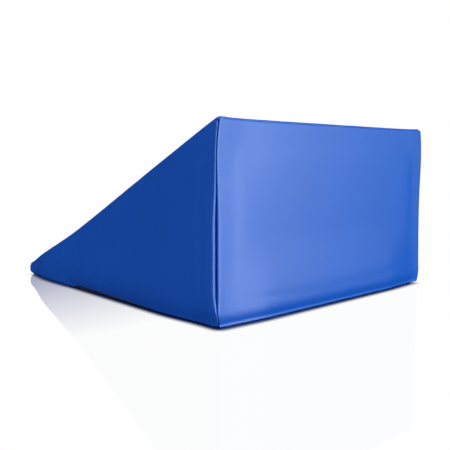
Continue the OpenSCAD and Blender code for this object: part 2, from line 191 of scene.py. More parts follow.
def drape(points):
    """Where a point of the straight-edged wedge lies on the filled cover."""
    x, y, z = points.T.copy()
    side = np.where(x < 0, -1.0, 1.0)
    inset = HALF_W - np.abs(x)
    behind = y - BACK_Y
    # The incline's hollow fades out with depth, and the underside stays flat
    depth = np.clip((incline_z(y) - z) * math.cos(SLOPE), 0, None)
    lift = (sag(y) + 0.8 * PROUD) * np.exp(-depth / SAG_REACH) * smooth(z / (20 * MM))
    y, z = y + lift * SLOPE_UP[1], z + lift * SLOPE_UP[2]
    # The toe is blunter than a half circle, and a little longer
    ny, nz = y - TOE_C[0], z - TOE_C[1]
    ring = np.hypot(ny, nz) + 1e-9
    blunt = (np.abs(ny / ring) ** 3 + np.abs(nz / ring) ** 3) ** (-1 / 3) - 1
    ahead = smooth(ny / (6 * MM))
    y = y + (ny * blunt * 0.9 + TOE_GROW) * ahead
    z = z + nz * blunt * 0.7 * ahead
    # The hem hangs lower towards the near corner and along the back
    hang_left = smooth((ZIP_Y - y) / (ZIP_Y - BACK_Y))
    hang = np.where(x < 0, hang_left, 1 - smooth((behind - 4 * MM) / (22 * MM)))
    z = z - HEM_HANG * hang * smooth((34 * MM - z) / (34 * MM - HEM_Z)) * smooth((ZIP_Y - y) / (40 * MM))
    # Lower edge tucked in towards the zip
    tuck = np.clip((TUCK_Z - z) / (TUCK_Z - HEM_Z), 0, 1)
    ear = np.exp(-(np.abs(inset) + np.abs(behind)) / 0.03) * (x > 0)
    side_low = tuck ** 1.6 * HEM_IN * (1 - ear)
    back_low = 0.75 * tuck ** 2.6 * HEM_IN * (1 - ear)
    inset = inset - 3 * MM * ear * hump(z, 6 * MM, 8 * MM, 8 * MM)
    at_zip = 1 - smooth((y - ZIP_Y + 15 * MM) / (50 * MM))
    under = FRONT_TUCK * smooth((9 * MM - z) / (9 * MM)) * (1 - at_zip)
    inset = inset + (side_low * at_zip + under) * on_face(inset)
    behind = behind + back_low * on_face(behind)
    # Corners rounded in plan towards the floor
    r = CORNER_R * smooth((CORNER_Z - z) / (CORNER_Z - HEM_Z)) + 1e-6
    inset, behind = corner_rounded(inset, behind, r, 1.2)
    # Upright seams: pinched in at the top corners, bowed out a little below them
    away = behind / RIDGE_AT
    ridge = SIDE_RIDGE * away * np.exp(1 - away) * smooth((z - 10 * MM) / (24 * MM))
    inset = inset - ridge * (1 - smooth((inset - 6 * MM) / (14 * MM))) * smooth((TOP_Z - z) / 0.17)
    near = np.exp(-(np.abs(inset) + np.abs(behind)) / 0.035)
    top = np.exp(-np.clip(TOP_Z - z, 0, None) / 0.02)
    inset = inset + (APEX_IN * top - 2 * MM * hump(z, 0.285, 0.05, 0.04)) * near
    inset = inset - 3 * MM * near * (x > 0) * hump(z, 0.1, 0.05, 0.08)
    z = z + APEX_UP * top * near
    # Ridge of the doubled hem, above the topstitching
    hem_ridge = HEM_RIDGE * hump(z, 6 * MM, 3 * MM, 4 * MM)
    behind = behind - hem_ridge * (1 - smooth((behind - 6 * MM) / (4 * MM)))
    # Shallow hollow beside the near top corner
    hollow = HOLLOW * hump(inset, 0.055, 0.045, 0.05) * hump(z, 0.315, 0.055, 0.05) * (x < 0)
    behind = behind + hollow * (1 - smooth((behind - 6 * MM) / (20 * MM)))
    full = PROUD * smooth((z - HEM_Z) / (25 * MM)) * smooth((TOE_Y - y) / 0.1)
    inset = inset - full * on_face(inset)
    behind = behind - 0.5 * full * on_face(behind)
    return flare(np.stack([side * (HALF_W - inset), BACK_Y + behind, z], 1))


# ---------------------------------------------------------------- mesh helpers
def deselect():
    if bpy.context.object and bpy.context.object.mode != "OBJECT":
        bpy.ops.object.mode_set(mode="OBJECT")
    bpy.ops.object.select_all(action="DESELECT")


def pick(obj):
    """Makes obj the only selected and active object."""
    deselect()
    obj.select_set(True)
    bpy.context.view_layer.objects.active = obj


def named(name):
    """Names the primitive that was just added."""
    obj = bpy.context.object
    obj.name = obj.data.name = name
    return obj


def read_points(obj):
    flat = np.empty(len(obj.data.vertices) * 3)
    obj.data.vertices.foreach_get("co", flat)
    return flat.reshape(-1, 3)


def write_points(obj, points):
    obj.data.vertices.foreach_set("co", np.ascontiguousarray(points).ravel())
    obj.data.update()


def selected_points(obj):
    chosen = np.empty(len(obj.data.vertices), bool)
    obj.data.vertices.foreach_get("select", chosen)
    return chosen


def note(obj, name, values):
    """Keeps a vector for every vertex; an extruded vertex takes its source's."""
    attribute = obj.data.attributes.get(name)
    if attribute is None:
        attribute = obj.data.attributes.new(name, "FLOAT_VECTOR", "POINT")
    attribute.data.foreach_set("vector", np.ascontiguousarray(values, float).ravel())


def noted(obj, name):
    flat = np.empty(len(obj.data.vertices) * 3)
    obj.data.attributes[name].data.foreach_get("vector", flat)
    return flat.reshape(-1, 3)


def finish_modifier(obj, kind, **settings):
    """Adds a modifier, sets it and applies it."""
    pick(obj)
    modifier = obj.modifiers.new(kind.title(), kind)
    for key, value in settings.items():
        setattr(modifier, key, value)
    bpy.ops.object.modifier_apply(modifier=modifier.name)
    return obj


def outward(obj):
    """Merges doubles and turns every face outwards."""
    pick(obj)
    bpy.ops.object.mode_set(mode="EDIT")
    bpy.ops.mesh.select_all(action="SELECT")
    bpy.ops.mesh.remove_doubles(threshold=0.00001)
    bpy.ops.mesh.normals_make_consistent(inside=False)
    bpy.ops.object.mode_set(mode="OBJECT")
    return obj


def turn_over(obj):
    """Turns every face of a grid to its other side."""
    pick(obj)
    bpy.ops.object.mode_set(mode="EDIT")
    bpy.ops.mesh.select_all(action="SELECT")
    bpy.ops.mesh.flip_normals()
    bpy.ops.object.mode_set(mode="OBJECT")


def dress(obj, material, body, slot, *nodes):
    """Material, body and the CAD nodes that the piece stands for. The slot is not used."""
    obj.data.materials.clear()
    obj.data.materials.append(material)
    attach(obj, body)
    if nodes:
        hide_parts(*nodes)
    return obj


# ---------------------------------------------------------------- sewn panels
def roll_start(radius, half_angle):
    """How far from the seam the vinyl starts to roll in, on a corner of twice half_angle degrees."""
    return radius / math.tan(math.radians(half_angle) / 2) + SEAM_GAP


def upright_radius(radius, z):
    """An upright seam's roll gets tighter towards the floor and the top."""
    floor_share = 0.4 + 0.6 * smooth((z - 15 * MM) / (45 * MM))
    return radius * floor_share * (1 - 0.55 * smooth((z - 0.16) / 0.12))


def cloth_grid(name, columns, rows, place):
    """A flat grid of cloth whose points place(u, v) puts on the wedge, u and v from 0 to 1."""
    deselect()
    bpy.ops.mesh.primitive_grid_add(x_subdivisions=columns, y_subdivisions=rows, size=1)
    obj = named(name)
    u, v = read_points(obj)[:, :2].T + 0.5
    write_points(obj, place(u, v))
    return obj, u, v


def turn_in_edges(obj, normal, borders):
    """Rolls every border into its seam and adds the turned-in allowance, by extruding the outline.
    A border is (which vertices, direction out, radius, angle turned in degrees, allowance)."""
    start = read_points(obj)
    count = len(start)
    reach = np.zeros((count, 3))
    out_sum = np.zeros((count, 3))
    numbers = np.zeros((count, 3))
    share = np.zeros(count)
    for chosen, out, radius, turn, allowance in borders:
        out = np.broadcast_to(out, (count, 3))
        radius = np.broadcast_to(radius, count)
        reach[chosen] += (out * radius[:, None])[chosen]
        out_sum[chosen] += out[chosen]
        numbers[chosen, 0] += radius[chosen]
        numbers[chosen, 1] += np.broadcast_to(turn, count)[chosen]
        numbers[chosen, 2] += np.broadcast_to(allowance, count)[chosen]
        share[chosen] += 1
    numbers[share > 0] /= share[share > 0, None]
    for name, values in (
        ("start", start), ("reach", reach), ("out", out_sum),
        ("normal", np.broadcast_to(normal, (count, 3))), ("numbers", numbers),
    ):
        note(obj, name, values)
    pick(obj)
    bpy.ops.object.mode_set(mode="EDIT")
    bpy.ops.mesh.select_mode(type="EDGE")
    bpy.ops.mesh.select_all(action="SELECT")
    bpy.ops.mesh.region_to_loop()
    for step in range(1, ROLL_STEPS + 3):
        bpy.ops.mesh.extrude_region_move()
        bpy.ops.object.mode_set(mode="OBJECT")
        chosen = selected_points(obj)
        radius, turn, allowance = noted(obj, "numbers")[chosen].T
        angle = np.radians(turn) * min(step / ROLL_STEPS, 1)
        sink = noted(obj, "normal")[chosen]
        points = noted(obj, "start")[chosen] + noted(obj, "reach")[chosen] * np.sin(angle)[:, None]
        points -= sink * (radius * (1 - np.cos(angle)))[:, None]
        if step > ROLL_STEPS:
            part = (0.4, 1)[step - ROLL_STEPS - 1]
            heading = noted(obj, "out")[chosen] * np.cos(angle)[:, None] - sink * np.sin(angle)[:, None]
            points += heading * (allowance * part)[:, None]
        moved = read_points(obj)
        moved[chosen] = points
        write_points(obj, moved)
        bpy.ops.object.mode_set(mode="EDIT")
    bpy.ops.object.mode_set(mode="OBJECT")
    normals = noted(obj, "normal")
    for name in ("start", "reach", "out", "normal", "numbers"):
        obj.data.attributes.remove(obj.data.attributes[name])
    return normals


def seam_pucker(distance, along, seed, height):
    """Short ruffles that run off a seam, dying out a few centimetres from it."""
    short = waves(along, (0.017, 0.023, 0.0315), seed) * (distance / 0.007) * np.exp(1 - distance / 0.007)
    long = waves(along, (0.061, 0.088, 0.137), seed + 3) * (distance / 0.02) * np.exp(1 - distance / 0.02)
    patches = smooth(0.5 + 0.8 * waves(along, (0.11, 0.173, 0.29), seed + 7))
    return height * (0.4 * short + 0.6 * long) * (0.15 + 0.85 * patches)


def settle(obj, free, slack, pressure, limit):
    """Cloth simulation of the panel between its held edges, pushed out by the foam.
    No point moves further than the limit."""
    before = read_points(obj)
    held = obj.vertex_groups.new(name="held")
    for index in np.nonzero(free < 0.999)[0]:
        held.add([int(index)], float(1 - free[index]), "REPLACE")
    pick(obj)
    modifier = obj.modifiers.new("Cloth", "CLOTH")
    cloth = modifier.settings
    # Stiff in its own plane and easy to bend, as coated fabric is
    cloth.quality = 6
    cloth.mass = 0.02
    cloth.tension_stiffness = 20
    cloth.compression_stiffness = 20
    cloth.shear_stiffness = 8
    cloth.bending_stiffness = 1.5
    cloth.air_damping = 2
    cloth.shrink_min = -slack
    cloth.use_pressure = True
    cloth.uniform_pressure_force = pressure
    cloth.vertex_group_mass = "held"
    cloth.effector_weights.gravity = 0
    modifier.point_cache.frame_start = 1
    modifier.point_cache.frame_end = CLOTH_FRAMES
    scene = bpy.context.scene
    for number in range(1, CLOTH_FRAMES + 1):
        scene.frame_set(number)
    graph = bpy.context.evaluated_depsgraph_get()
    shaped = obj.evaluated_get(graph).data
    after = np.empty(len(shaped.vertices) * 3)
    shaped.vertices.foreach_get("co", after)
    move = after.reshape(-1, 3) - before
    size = np.linalg.norm(move, axis=1) + 1e-9
    move *= (limit * np.tanh(size / limit) / size)[:, None]
    obj.modifiers.remove(modifier)
    obj.vertex_groups.clear()
    write_points(obj, before + move)
    scene.frame_set(1)


def thicken(obj):
    """Smooths a panel and gives it the vinyl's thickness."""
    finish_modifier(obj, "SUBSURF", levels=1, render_levels=1)
    finish_modifier(obj, "SOLIDIFY", thickness=VINYL_T, offset=-1)
    pick(obj)
    bpy.ops.object.shade_smooth()
    return obj


def sew(obj, normals, puckers, free, slack, pressure, limit):
    """Shapes a panel with turned-in edges: ruffles at the seams, drape, simulation and thickness."""
    points = read_points(obj)
    points = points + normals * puckers(points)[:, None]
    write_points(obj, drape(points))
    settle(obj, free, slack, pressure, limit)
    return thicken(obj)


def pad_free(obj, count, values):
    """The freedom to move of a grid's own points; the rolled edges that follow are held."""
    free = np.zeros(len(obj.data.vertices))
    free[:count] = values
    return free


def side_panel(name, side):
    """Upright triangular side with the toe's round end, its lower edge a hem as far as the zip goes."""
    edge_d = roll_start(SEAM_R, 45)
    nose_r = TOE_R - edge_d
    columns, rows = 124, 40
    nose_share = 8 / columns
    cos_s = math.cos(SLOPE)

    def place(u, v):
        run = np.clip(u / (1 - nose_share), 0, 1)
        nose = np.clip((u - 1 + nose_share) / nose_share, 0, 1)
        first = BACK_Y + roll_start(upright_radius(SIDE_SEAM_R, v * TOP_Z), 45)
        y = first + (TOE_C[0] - first) * run
        hem = zip_share(side, y)
        bottom_z = (HEM_Z + HEM_R) * hem + edge_d * (1 - hem)
        top_y = y + nose_r * math.sin(SLOPE) * run ** 20
        top_z = incline_z(top_y) - edge_d / cos_s
        # Round the nose both outlines follow its circle towards the tip
        top_a = math.pi / 2 - SLOPE - nose * (math.pi / 2 - SLOPE - 0.35)
        low_a = -math.pi / 2 + nose * (math.pi / 2 - 0.35)
        at_nose = nose > 0
        top_y = np.where(at_nose, TOE_C[0] + nose_r * np.cos(top_a), top_y)
        top_z = np.where(at_nose, TOE_C[1] + nose_r * np.sin(top_a), top_z)
        low_y = np.where(at_nose, TOE_C[0] + nose_r * np.cos(low_a), y)
        low_z = np.where(at_nose, TOE_C[1] + nose_r * np.sin(low_a), bottom_z)
        py = low_y + (top_y - low_y) * v
        pz = low_z + (top_z - low_z) * v
        # The last columns bulge out to the circle
        angle = low_a + (top_a - low_a) * v
        bulge = nose ** 2
        py = py * (1 - bulge) + (TOE_C[0] + nose_r * np.cos(angle)) * bulge
        pz = pz * (1 - bulge) + (TOE_C[1] + nose_r * np.sin(angle)) * bulge
        return np.stack([np.full_like(u, side * HALF_W), py, pz], 1)

    obj, u, v = cloth_grid(name, columns, rows, place)
    points = read_points(obj)
    if side < 0:
        turn_over(obj)
    normal = np.array([side, 0.0, 0.0])
    tip = np.stack([0 * u, points[:, 1] - TOE_C[0], points[:, 2] - TOE_C[1]], 1)
    tip /= np.linalg.norm(tip, axis=1)[:, None] + 1e-9
    on_nose = (u > 1 - nose_share + ON_EDGE)[:, None]
    hem = zip_share(side, points[:, 1])
    radius = HEM_R * hem + SEAM_R * (1 - hem)
    turn = 180 * hem + 135 * (1 - hem)
    allowance = HEM_FLAP * hem + 0.6 * FLAP * (1 - hem)
    thin = 1 - 0.45 * smooth((points[:, 1] - 0.25) / 0.09)
    normals = turn_in_edges(obj, normal, [
        (u < ON_EDGE, np.array([0, -1.0, 0]), upright_radius(SIDE_SEAM_R, v * TOP_Z), 135, FLAP),
        ((v < ON_EDGE) & (u > ON_EDGE), np.where(on_nose, tip, [0, 0, -1.0]), radius, turn, allowance),
        (v > 1 - ON_EDGE, np.where(on_nose, tip, SLOPE_UP), SEAM_R, 135, FLAP * thin),
        ((u > 1 - ON_EDGE) & (v > ON_EDGE) & (v < 1 - ON_EDGE), tip, SEAM_R, 135, FLAP * 0.55),
    ])

    def puckers(p):
        depth = (incline_z(p[:, 1]) - p[:, 2]) * cos_s
        y, z = p[:, 1], p[:, 2]
        total = seam_pucker(np.clip(depth, 0, None), y / cos_s, 1 + side, 0.35 * MM)
        total += seam_pucker(np.clip(y - BACK_Y, 0, None), z, 5 + side, 0.35 * MM)
        total += seam_pucker(np.clip(z - HEM_Z, 0, None), y, 9 + side, 0.25 * MM)
        return total * smooth((TOE_Y - 0.03 - y) / 0.1)

    edge = np.minimum.reduce([u * columns / 8, v * rows / 6, (1 - v) * rows / 6])
    values = smooth(edge) * (1 - smooth((points[:, 1] - 0.22) / 0.06))
    return sew(obj, normals, puckers, pad_free(obj, len(u), values), 0.001, 3, 3 * MM)


def back_panel(name):
    """Tall upright back face, hemmed over the zip."""
    top_half = (90 - math.degrees(SLOPE)) / 2
    top_d = roll_start(SEAM_R, top_half)

    def place(u, v):
        low = HEM_Z + HEM_R
        z = low + (TOP_Z - top_d - low) * v ** 1.35
        half = HALF_W - roll_start(upright_radius(SEAM_R, z), 45)
        return np.stack([(2 * u - 1) * half, np.full_like(u, BACK_Y), z], 1)

    columns, rows = 88, 54
    obj, u, v = cloth_grid(name, columns, rows, place)
    upright = upright_radius(SEAM_R, read_points(obj)[:, 2])
    normals = turn_in_edges(obj, np.array([0, -1.0, 0]), [
        (u < ON_EDGE, np.array([-1.0, 0, 0]), upright, 135, FLAP),
        (u > 1 - ON_EDGE, np.array([1.0, 0, 0]), upright, 135, FLAP),
        (v > 1 - ON_EDGE, np.array([0, 0, 1.0]), SEAM_R, 180 - top_half, FLAP),
        ((v < ON_EDGE) & (u > ON_EDGE) & (u < 1 - ON_EDGE), np.array([0, 0, -1.0]), HEM_R, 180, HEM_FLAP),
    ])

    def puckers(p):
        inset = np.clip(HALF_W - np.abs(p[:, 0]), 0, None)
        total = seam_pucker(inset, p[:, 2], 13, 0.12 * MM)
        total += seam_pucker(np.clip(TOP_Z - p[:, 2], 0, None), p[:, 0], 17, 0.1 * MM)
        return total + seam_pucker(np.clip(p[:, 2] - HEM_Z, 0, None), p[:, 0], 19, 0.05 * MM)

    edge = np.minimum.reduce([
        u * columns / 8, (1 - u) * columns / 8, v * rows / 14, (1 - v) * rows / 8,
    ])
    return sew(obj, normals, puckers, pad_free(obj, len(u), smooth(edge)), 0.0, 1, 1.2 * MM)


def incline_panel(name):
    """Walking surface from the top edge down the incline and round the toe to the base seam."""
    edge_d = roll_start(SEAM_R, 45)
    top_half = (90 - math.degrees(SLOPE)) / 2
    top_d = roll_start(SEAM_R, top_half)
    toe_d = roll_start(SEAM_R, 90)
    half = HALF_W - edge_d
    total_l = FACE_L + TOE_R * (math.pi - SLOPE) - toe_d
    apex = np.array([0, BACK_Y, TOP_Z])
    columns, rows, arc_rows = 80, 106, 10

    def along(v):
        k = v * rows
        split = rows - arc_rows
        return np.where(
            k < split, top_d + (FACE_L - top_d) * k / split,
            FACE_L + (total_l - FACE_L) * (k - split) / arc_rows,
        )

    def surface(s):
        angle = np.clip(s - FACE_L, 0, None) / TOE_R + SLOPE
        normal = np.stack([0 * s, np.sin(angle), np.cos(angle)], 1)
        flat = apex + np.clip(s, None, FACE_L)[:, None] * SLOPE_DOWN
        turned = TOE_R * (normal - SLOPE_UP)
        return flat + turned, normal

    def place(u, v):
        points, _ = surface(along(v))
        points[:, 0] = (2 * u - 1) * half
        return points

    obj, u, v = cloth_grid(name, columns, rows, place)
    turn_over(obj)
    _, normal = surface(along(v))
    thin = 1 - 0.45 * smooth((read_points(obj)[:, 1] - 0.25) / 0.09)
    normals = turn_in_edges(obj, normal, [
        (u < ON_EDGE, np.array([-1.0, 0, 0]), SEAM_R, 135, FLAP * thin),
        (u > 1 - ON_EDGE, np.array([1.0, 0, 0]), SEAM_R, 135, FLAP * thin),
        (v < ON_EDGE, -SLOPE_DOWN, SEAM_R, 180 - top_half, FLAP),
        (v > 1 - ON_EDGE, np.array([0, -1.0, 0]), SEAM_R, 90, 0.7 * FLAP),
    ])

    def puckers(p):
        inset = np.clip(HALF_W - np.abs(p[:, 0]), 0, None)
        depth = (p[:, 1] - BACK_Y) / math.cos(SLOPE)
        total = seam_pucker(inset, depth, 23 + np.sign(p[:, 0]), 0.5 * MM)
        total += seam_pucker(np.clip(depth, 0, None), p[:, 0], 29, 0.5 * MM)
        return total * smooth((TOE_Y - 0.01 - p[:, 1]) / 0.05)

    edge = np.minimum.reduce([u * columns / 2, (1 - u) * columns / 2, v * rows / 2])
    values = smooth(edge) * (1 - smooth((along(v) - FACE_L + 0.1) / 0.08))
    return sew(obj, normals, puckers, pad_free(obj, len(u), values), 0.002, 5, 5 * MM)


def base_panel(name):
    """Flat underside with rounded back corners and its edges turned in."""
    inset = HALF_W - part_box("base_panel")[1].x
    edge_d = roll_start(SEAM_R, 45)
    toe_d = roll_start(SEAM_R, 90)
    front = TOE_C[0] - toe_d
    hem_r = 0.42 * MM
    hem_flap = 6 * MM

    def place(u, v):
        y = BACK_Y + inset + (front - BACK_Y - inset) * v
        gap = inset + (edge_d + FRONT_TUCK - inset) * (1 - zip_share(u - 0.5, y))
        return np.stack([(2 * u - 1) * (HALF_W - gap), y, np.zeros_like(u)], 1)

    obj, u, v = cloth_grid(name, 60, 72, place)
    turn_over(obj)
    x, y, _ = read_points(obj).T
    hem = zip_share(x, y)
    radius = hem_r * hem + SEAM_R * (1 - hem)
    turn = 180 * hem + 135 * (1 - hem)
    allowance = hem_flap * hem + 0.6 * FLAP * (1 - hem)
    turn_in_edges(obj, np.array([0, 0, -1.0]), [
        (u < ON_EDGE, np.array([-1.0, 0, 0]), radius, turn, allowance),
        (u > 1 - ON_EDGE, np.array([1.0, 0, 0]), radius, turn, allowance),
        (v < ON_EDGE, np.array([0, -1.0, 0]), hem_r, 180, hem_flap),
        (v > 1 - ON_EDGE, np.array([0, 1.0, 0]), SEAM_R, 90, 0.7 * FLAP),
    ])
    x, y, z = read_points(obj).T
    gap, behind = corner_rounded(HALF_W - np.abs(x), y - BACK_Y, ZIP_TURN)
    write_points(obj, flare(np.stack([np.sign(x) * (HALF_W - gap), BACK_Y + behind, z], 1)))
    return thicken(obj)


def foam_block(name):
    """Cut foam wedge: a cube sloped down to the toe, its edges eased, then shaped like the cover."""
    gap = 1.6 * MM
    deselect()
    bpy.ops.mesh.primitive_cube_add(size=1)
    obj = named(name)
    points = read_points(obj)
    front = points[:, 1] > 0
    top = points[:, 2] > 0
    points[:, 0] = np.sign(points[:, 0]) * (HALF_W - gap - 3 * MM)
    points[:, 1] = np.where(front, TOE_Y - gap - 6 * MM, BACK_Y + gap + 3 * MM)
    high = incline_z(points[:, 1]) - (gap + 4 * MM) / math.cos(SLOPE)
    points[:, 2] = np.where(top, high, 2.4 * MM)
    write_points(obj, points)
    pick(obj)
    bpy.ops.object.mode_set(mode="EDIT")
    bpy.ops.mesh.select_all(action="SELECT")
    bpy.ops.mesh.bevel(offset=9 * MM, offset_type="OFFSET", segments=2, affect="EDGES", clamp_overlap=True)
    bpy.ops.mesh.select_all(action="SELECT")
    bpy.ops.mesh.subdivide(number_cuts=11)
    bpy.ops.object.mode_set(mode="OBJECT")
    outward(obj)
    points = read_points(obj)
    y, z = points[:, 1], points[:, 2]
    depth = np.clip((incline_z(y) - z) * math.cos(SLOPE), 0, None)
    lift = np.clip(sag(y), None, 0) * np.exp(-depth / SAG_REACH) * smooth(z / (20 * MM))
    points += lift[:, None] * SLOPE_UP
    # Cut back behind the zip, with round corners
    low = smooth((44 * MM - z) / (16 * MM))
    inset = HALF_W - np.abs(points[:, 0])
    behind = points[:, 1] - BACK_Y
    inset = np.maximum(inset, 9.5 * MM * low)
    behind = np.maximum(behind, 9.5 * MM * low)
    inset, behind = corner_rounded(inset, behind, 30 * MM * low + 1e-6)
    points[:, 0] = np.sign(points[:, 0]) * (HALF_W - inset)
    points[:, 1] = BACK_Y + behind
    write_points(obj, points)
    return obj


# ---------------------------------------------------------------- small repeated pieces
def repeat(model, name, frames):
    """One mesh of many copies of the model. A frame is (place, x axis, y axis, z axis)."""
    shape = read_points(model)
    faces = [tuple(face.vertices) for face in model.data.polygons]
    step = len(shape)
    points = []
    all_faces = []
    for index, (place, x_axis, y_axis, z_axis) in enumerate(frames):
        points.append(place + shape @ np.array([x_axis, y_axis, z_axis]))
        all_faces += [tuple(i + index * step for i in face) for face in faces]
    mesh = bpy.data.meshes.new(name)
    mesh.from_pydata(np.concatenate(points).tolist(), [], all_faces)
    obj = bpy.data.objects.new(name, mesh)
    bpy.context.scene.collection.objects.link(obj)
    pick(obj)
    bpy.ops.object.shade_smooth()
    return obj


def walk(path, pitch):
    """Evenly spaced places along a path of points, with the direction at each."""
    path = np.asarray(path, float)
    steps = np.linalg.norm(np.diff(path, axis=0), axis=1)
    total = np.concatenate([[0], np.cumsum(steps)])
    count = int(total[-1] / pitch)
    where = (np.arange(count) + 0.5) * total[-1] / count
    places = np.stack([np.interp(where, total, path[:, k]) for k in range(3)], 1)
    ahead = np.stack([np.interp(where + pitch / 4, total, path[:, k]) for k in range(3)], 1)
    back = np.stack([np.interp(where - pitch / 4, total, path[:, k]) for k in range(3)], 1)
    heading = ahead - back
    return places, heading / np.linalg.norm(heading, axis=1)[:, None]


def stitch_model():
    """One stitch: a short thick thread with round ends that dip into the vinyl."""
    deselect()
    bpy.ops.mesh.primitive_cylinder_add(
        vertices=6, radius=0.34 * MM, depth=2.2 * MM, rotation=(0, math.pi / 2, 0),
    )
    obj = named("stitch")
    bpy.ops.object.transform_apply(location=True, rotation=True, scale=True)
    bpy.ops.object.mode_set(mode="EDIT")
    bpy.ops.mesh.select_mode(type="FACE")
    bpy.ops.object.mode_set(mode="OBJECT")
    for end in (-1, 1):
        for face in obj.data.polygons:
            face.select = face.normal.x * end > 0.9
        bpy.ops.object.mode_set(mode="EDIT")
        bpy.ops.mesh.extrude_region_move(
            TRANSFORM_OT_translate={"value": (end * 0.4 * MM, 0, -0.3 * MM)}
        )
        bpy.ops.transform.resize(value=(0.6, 0.6, 0.6))
        bpy.ops.object.mode_set(mode="OBJECT")
    return obj


def stitches(name, model, path, up, pitch=STITCH_PITCH):
    """A row of stitches along a path, their backs facing up."""
    places, heading = walk(path, pitch)
    up = np.broadcast_to(np.asarray(up, float), heading.shape)
    across = np.cross(up, heading)
    across /= np.linalg.norm(across, axis=1)[:, None]
    upright = np.cross(heading, across)
    return repeat(model, name, list(zip(places, heading, across, upright)))


def seam_line(kind, side=1.0, depth=3.5 * MM):
    """Nominal path of a closed seam's thread, at that depth from both faces."""
    if kind == "incline":
        s = np.linspace(8 * MM, FACE_L, 160)
        points = np.array([0, BACK_Y, TOP_Z]) + s[:, None] * SLOPE_DOWN - depth * SLOPE_UP
        points[:, 0] = side * (HALF_W - depth)
        a = np.linspace(SLOPE, math.pi, 24)
        toe = np.stack([
            np.full_like(a, side * (HALF_W - depth)),
            TOE_C[0] + (TOE_R - depth) * np.sin(a),
            TOE_C[1] + (TOE_R - depth) * np.cos(a),
        ], 1)
        return drape(np.concatenate([points, toe]))
    if kind == "back":
        z = np.linspace(HEM_Z + 14 * MM, TOP_Z - 8 * MM, 120)
        across = np.full_like(z, side * (HALF_W - depth))
        return drape(np.stack([across, np.full_like(z, BACK_Y + depth), z], 1))
    x = np.linspace(-HALF_W + 8 * MM, HALF_W - 8 * MM, 160)
    if kind == "top":
        down = depth * 1.6
        return drape(np.stack([x, np.full_like(x, BACK_Y + depth), np.full_like(x, TOP_Z - down)], 1))
    if kind == "toe":
        return drape(np.stack([x, np.full_like(x, TOE_C[0]), np.full_like(x, 1.6 * MM)], 1))
    y = np.linspace(ZIP_Y + 15 * MM, TOE_C[0] - 4 * MM, 60)
    return drape(np.stack([np.full_like(y, side * (HALF_W - depth)), y, np.full_like(y, depth)], 1))


# ---------------------------------------------------------------- zip
def zip_path(inset, end_y, z):
    """Round the lower edge, from the right end to the left one: points and directions out."""
    r = ZIP_TURN - inset
    corner = np.radians(np.linspace(0, 90, 19))
    run = np.linspace(end_y, BACK_Y + ZIP_TURN, 120)[:-1]
    across = np.linspace(HALF_W - ZIP_TURN, -HALF_W + ZIP_TURN, 120)[1:-1]
    middle_x, middle_y = HALF_W - ZIP_TURN, BACK_Y + ZIP_TURN
    plan = [np.stack([np.full_like(run, HALF_W - inset), run], 1)]
    plan.append(np.stack([middle_x + r * np.cos(corner), middle_y - r * np.sin(corner)], 1))
    plan.append(np.stack([across, np.full_like(across, BACK_Y + inset)], 1))
    plan.append(np.stack([-middle_x - r * np.sin(corner), middle_y - r * np.cos(corner)], 1))
    plan.append(np.stack([np.full_like(run, -HALF_W + inset), run[::-1]], 1))
    plan = np.concatenate(plan)
    return flare(np.column_stack([plan, np.full(len(plan), z)]))


def tape(name, profile, end_y):
    """Woven tape swept along the zip's path. The profile is a list of (inset, height)."""
    deselect()
    lines = np.array([zip_path(inset, end_y, z) for inset, z in profile])
    bpy.ops.mesh.primitive_grid_add(
        x_subdivisions=lines.shape[1] - 1, y_subdivisions=len(profile) - 1, size=1,
    )
    obj = named(name)
    u, v = read_points(obj)[:, :2].T + 0.5
    row = np.rint(v * (len(profile) - 1)).astype(int)
    column = np.rint(u * (lines.shape[1] - 1)).astype(int)
    write_points(obj, lines[row, column])
    finish_modifier(obj, "SOLIDIFY", thickness=0.55 * MM, offset=-1)
    finish_modifier(obj, "BEVEL", width=0.12 * MM, segments=2, limit_method="ANGLE")
    pick(obj)
    bpy.ops.object.shade_smooth_by_angle(angle=math.radians(40))
    return obj


def tooth_model(up):
    """One turn of the coil, seen as a slanted rib with a thicker head towards the other coil."""
    deselect()
    bpy.ops.mesh.primitive_cube_add(size=1)
    obj = named("coil_turn")
    points = read_points(obj) * np.array([0.74, 1.3, 1.9]) * MM
    write_points(obj, points)
    pick(obj)
    bpy.ops.object.mode_set(mode="EDIT")
    bpy.ops.mesh.select_mode(type="FACE")
    bpy.ops.mesh.select_all(action="DESELECT")
    bpy.ops.object.mode_set(mode="OBJECT")
    for face in obj.data.polygons:
        face.select = face.normal.z * up < -0.9
    bpy.ops.object.mode_set(mode="EDIT")
    bpy.ops.mesh.extrude_region_move(TRANSFORM_OT_translate={"value": (0, 0, -up * 0.5 * MM)})
    bpy.ops.transform.resize(value=(1.35, 1.0, 1.0))
    bpy.ops.mesh.select_all(action="SELECT")
    bpy.ops.mesh.bevel(offset=0.18 * MM, segments=1, affect="EDGES")
    bpy.ops.object.mode_set(mode="OBJECT")
    return obj


def coil(name, up, z, phase):
    """A row of coil turns along the zip's path, meeting the other coil's between them."""
    model = tooth_model(up)
    path = zip_path(TAPE_IN - 0.75 * MM, upper_high.y, z)
    places, heading = walk(path, 1.4 * MM)
    places = places + heading * phase
    upright = np.broadcast_to([0.0, 0.0, 1.0], heading.shape)
    out = np.cross(heading, upright)
    along = np.cross(out, upright) * -1
    obj = repeat(model, name, list(zip(places, along, out, upright)))
    bpy.data.objects.remove(model)
    return obj


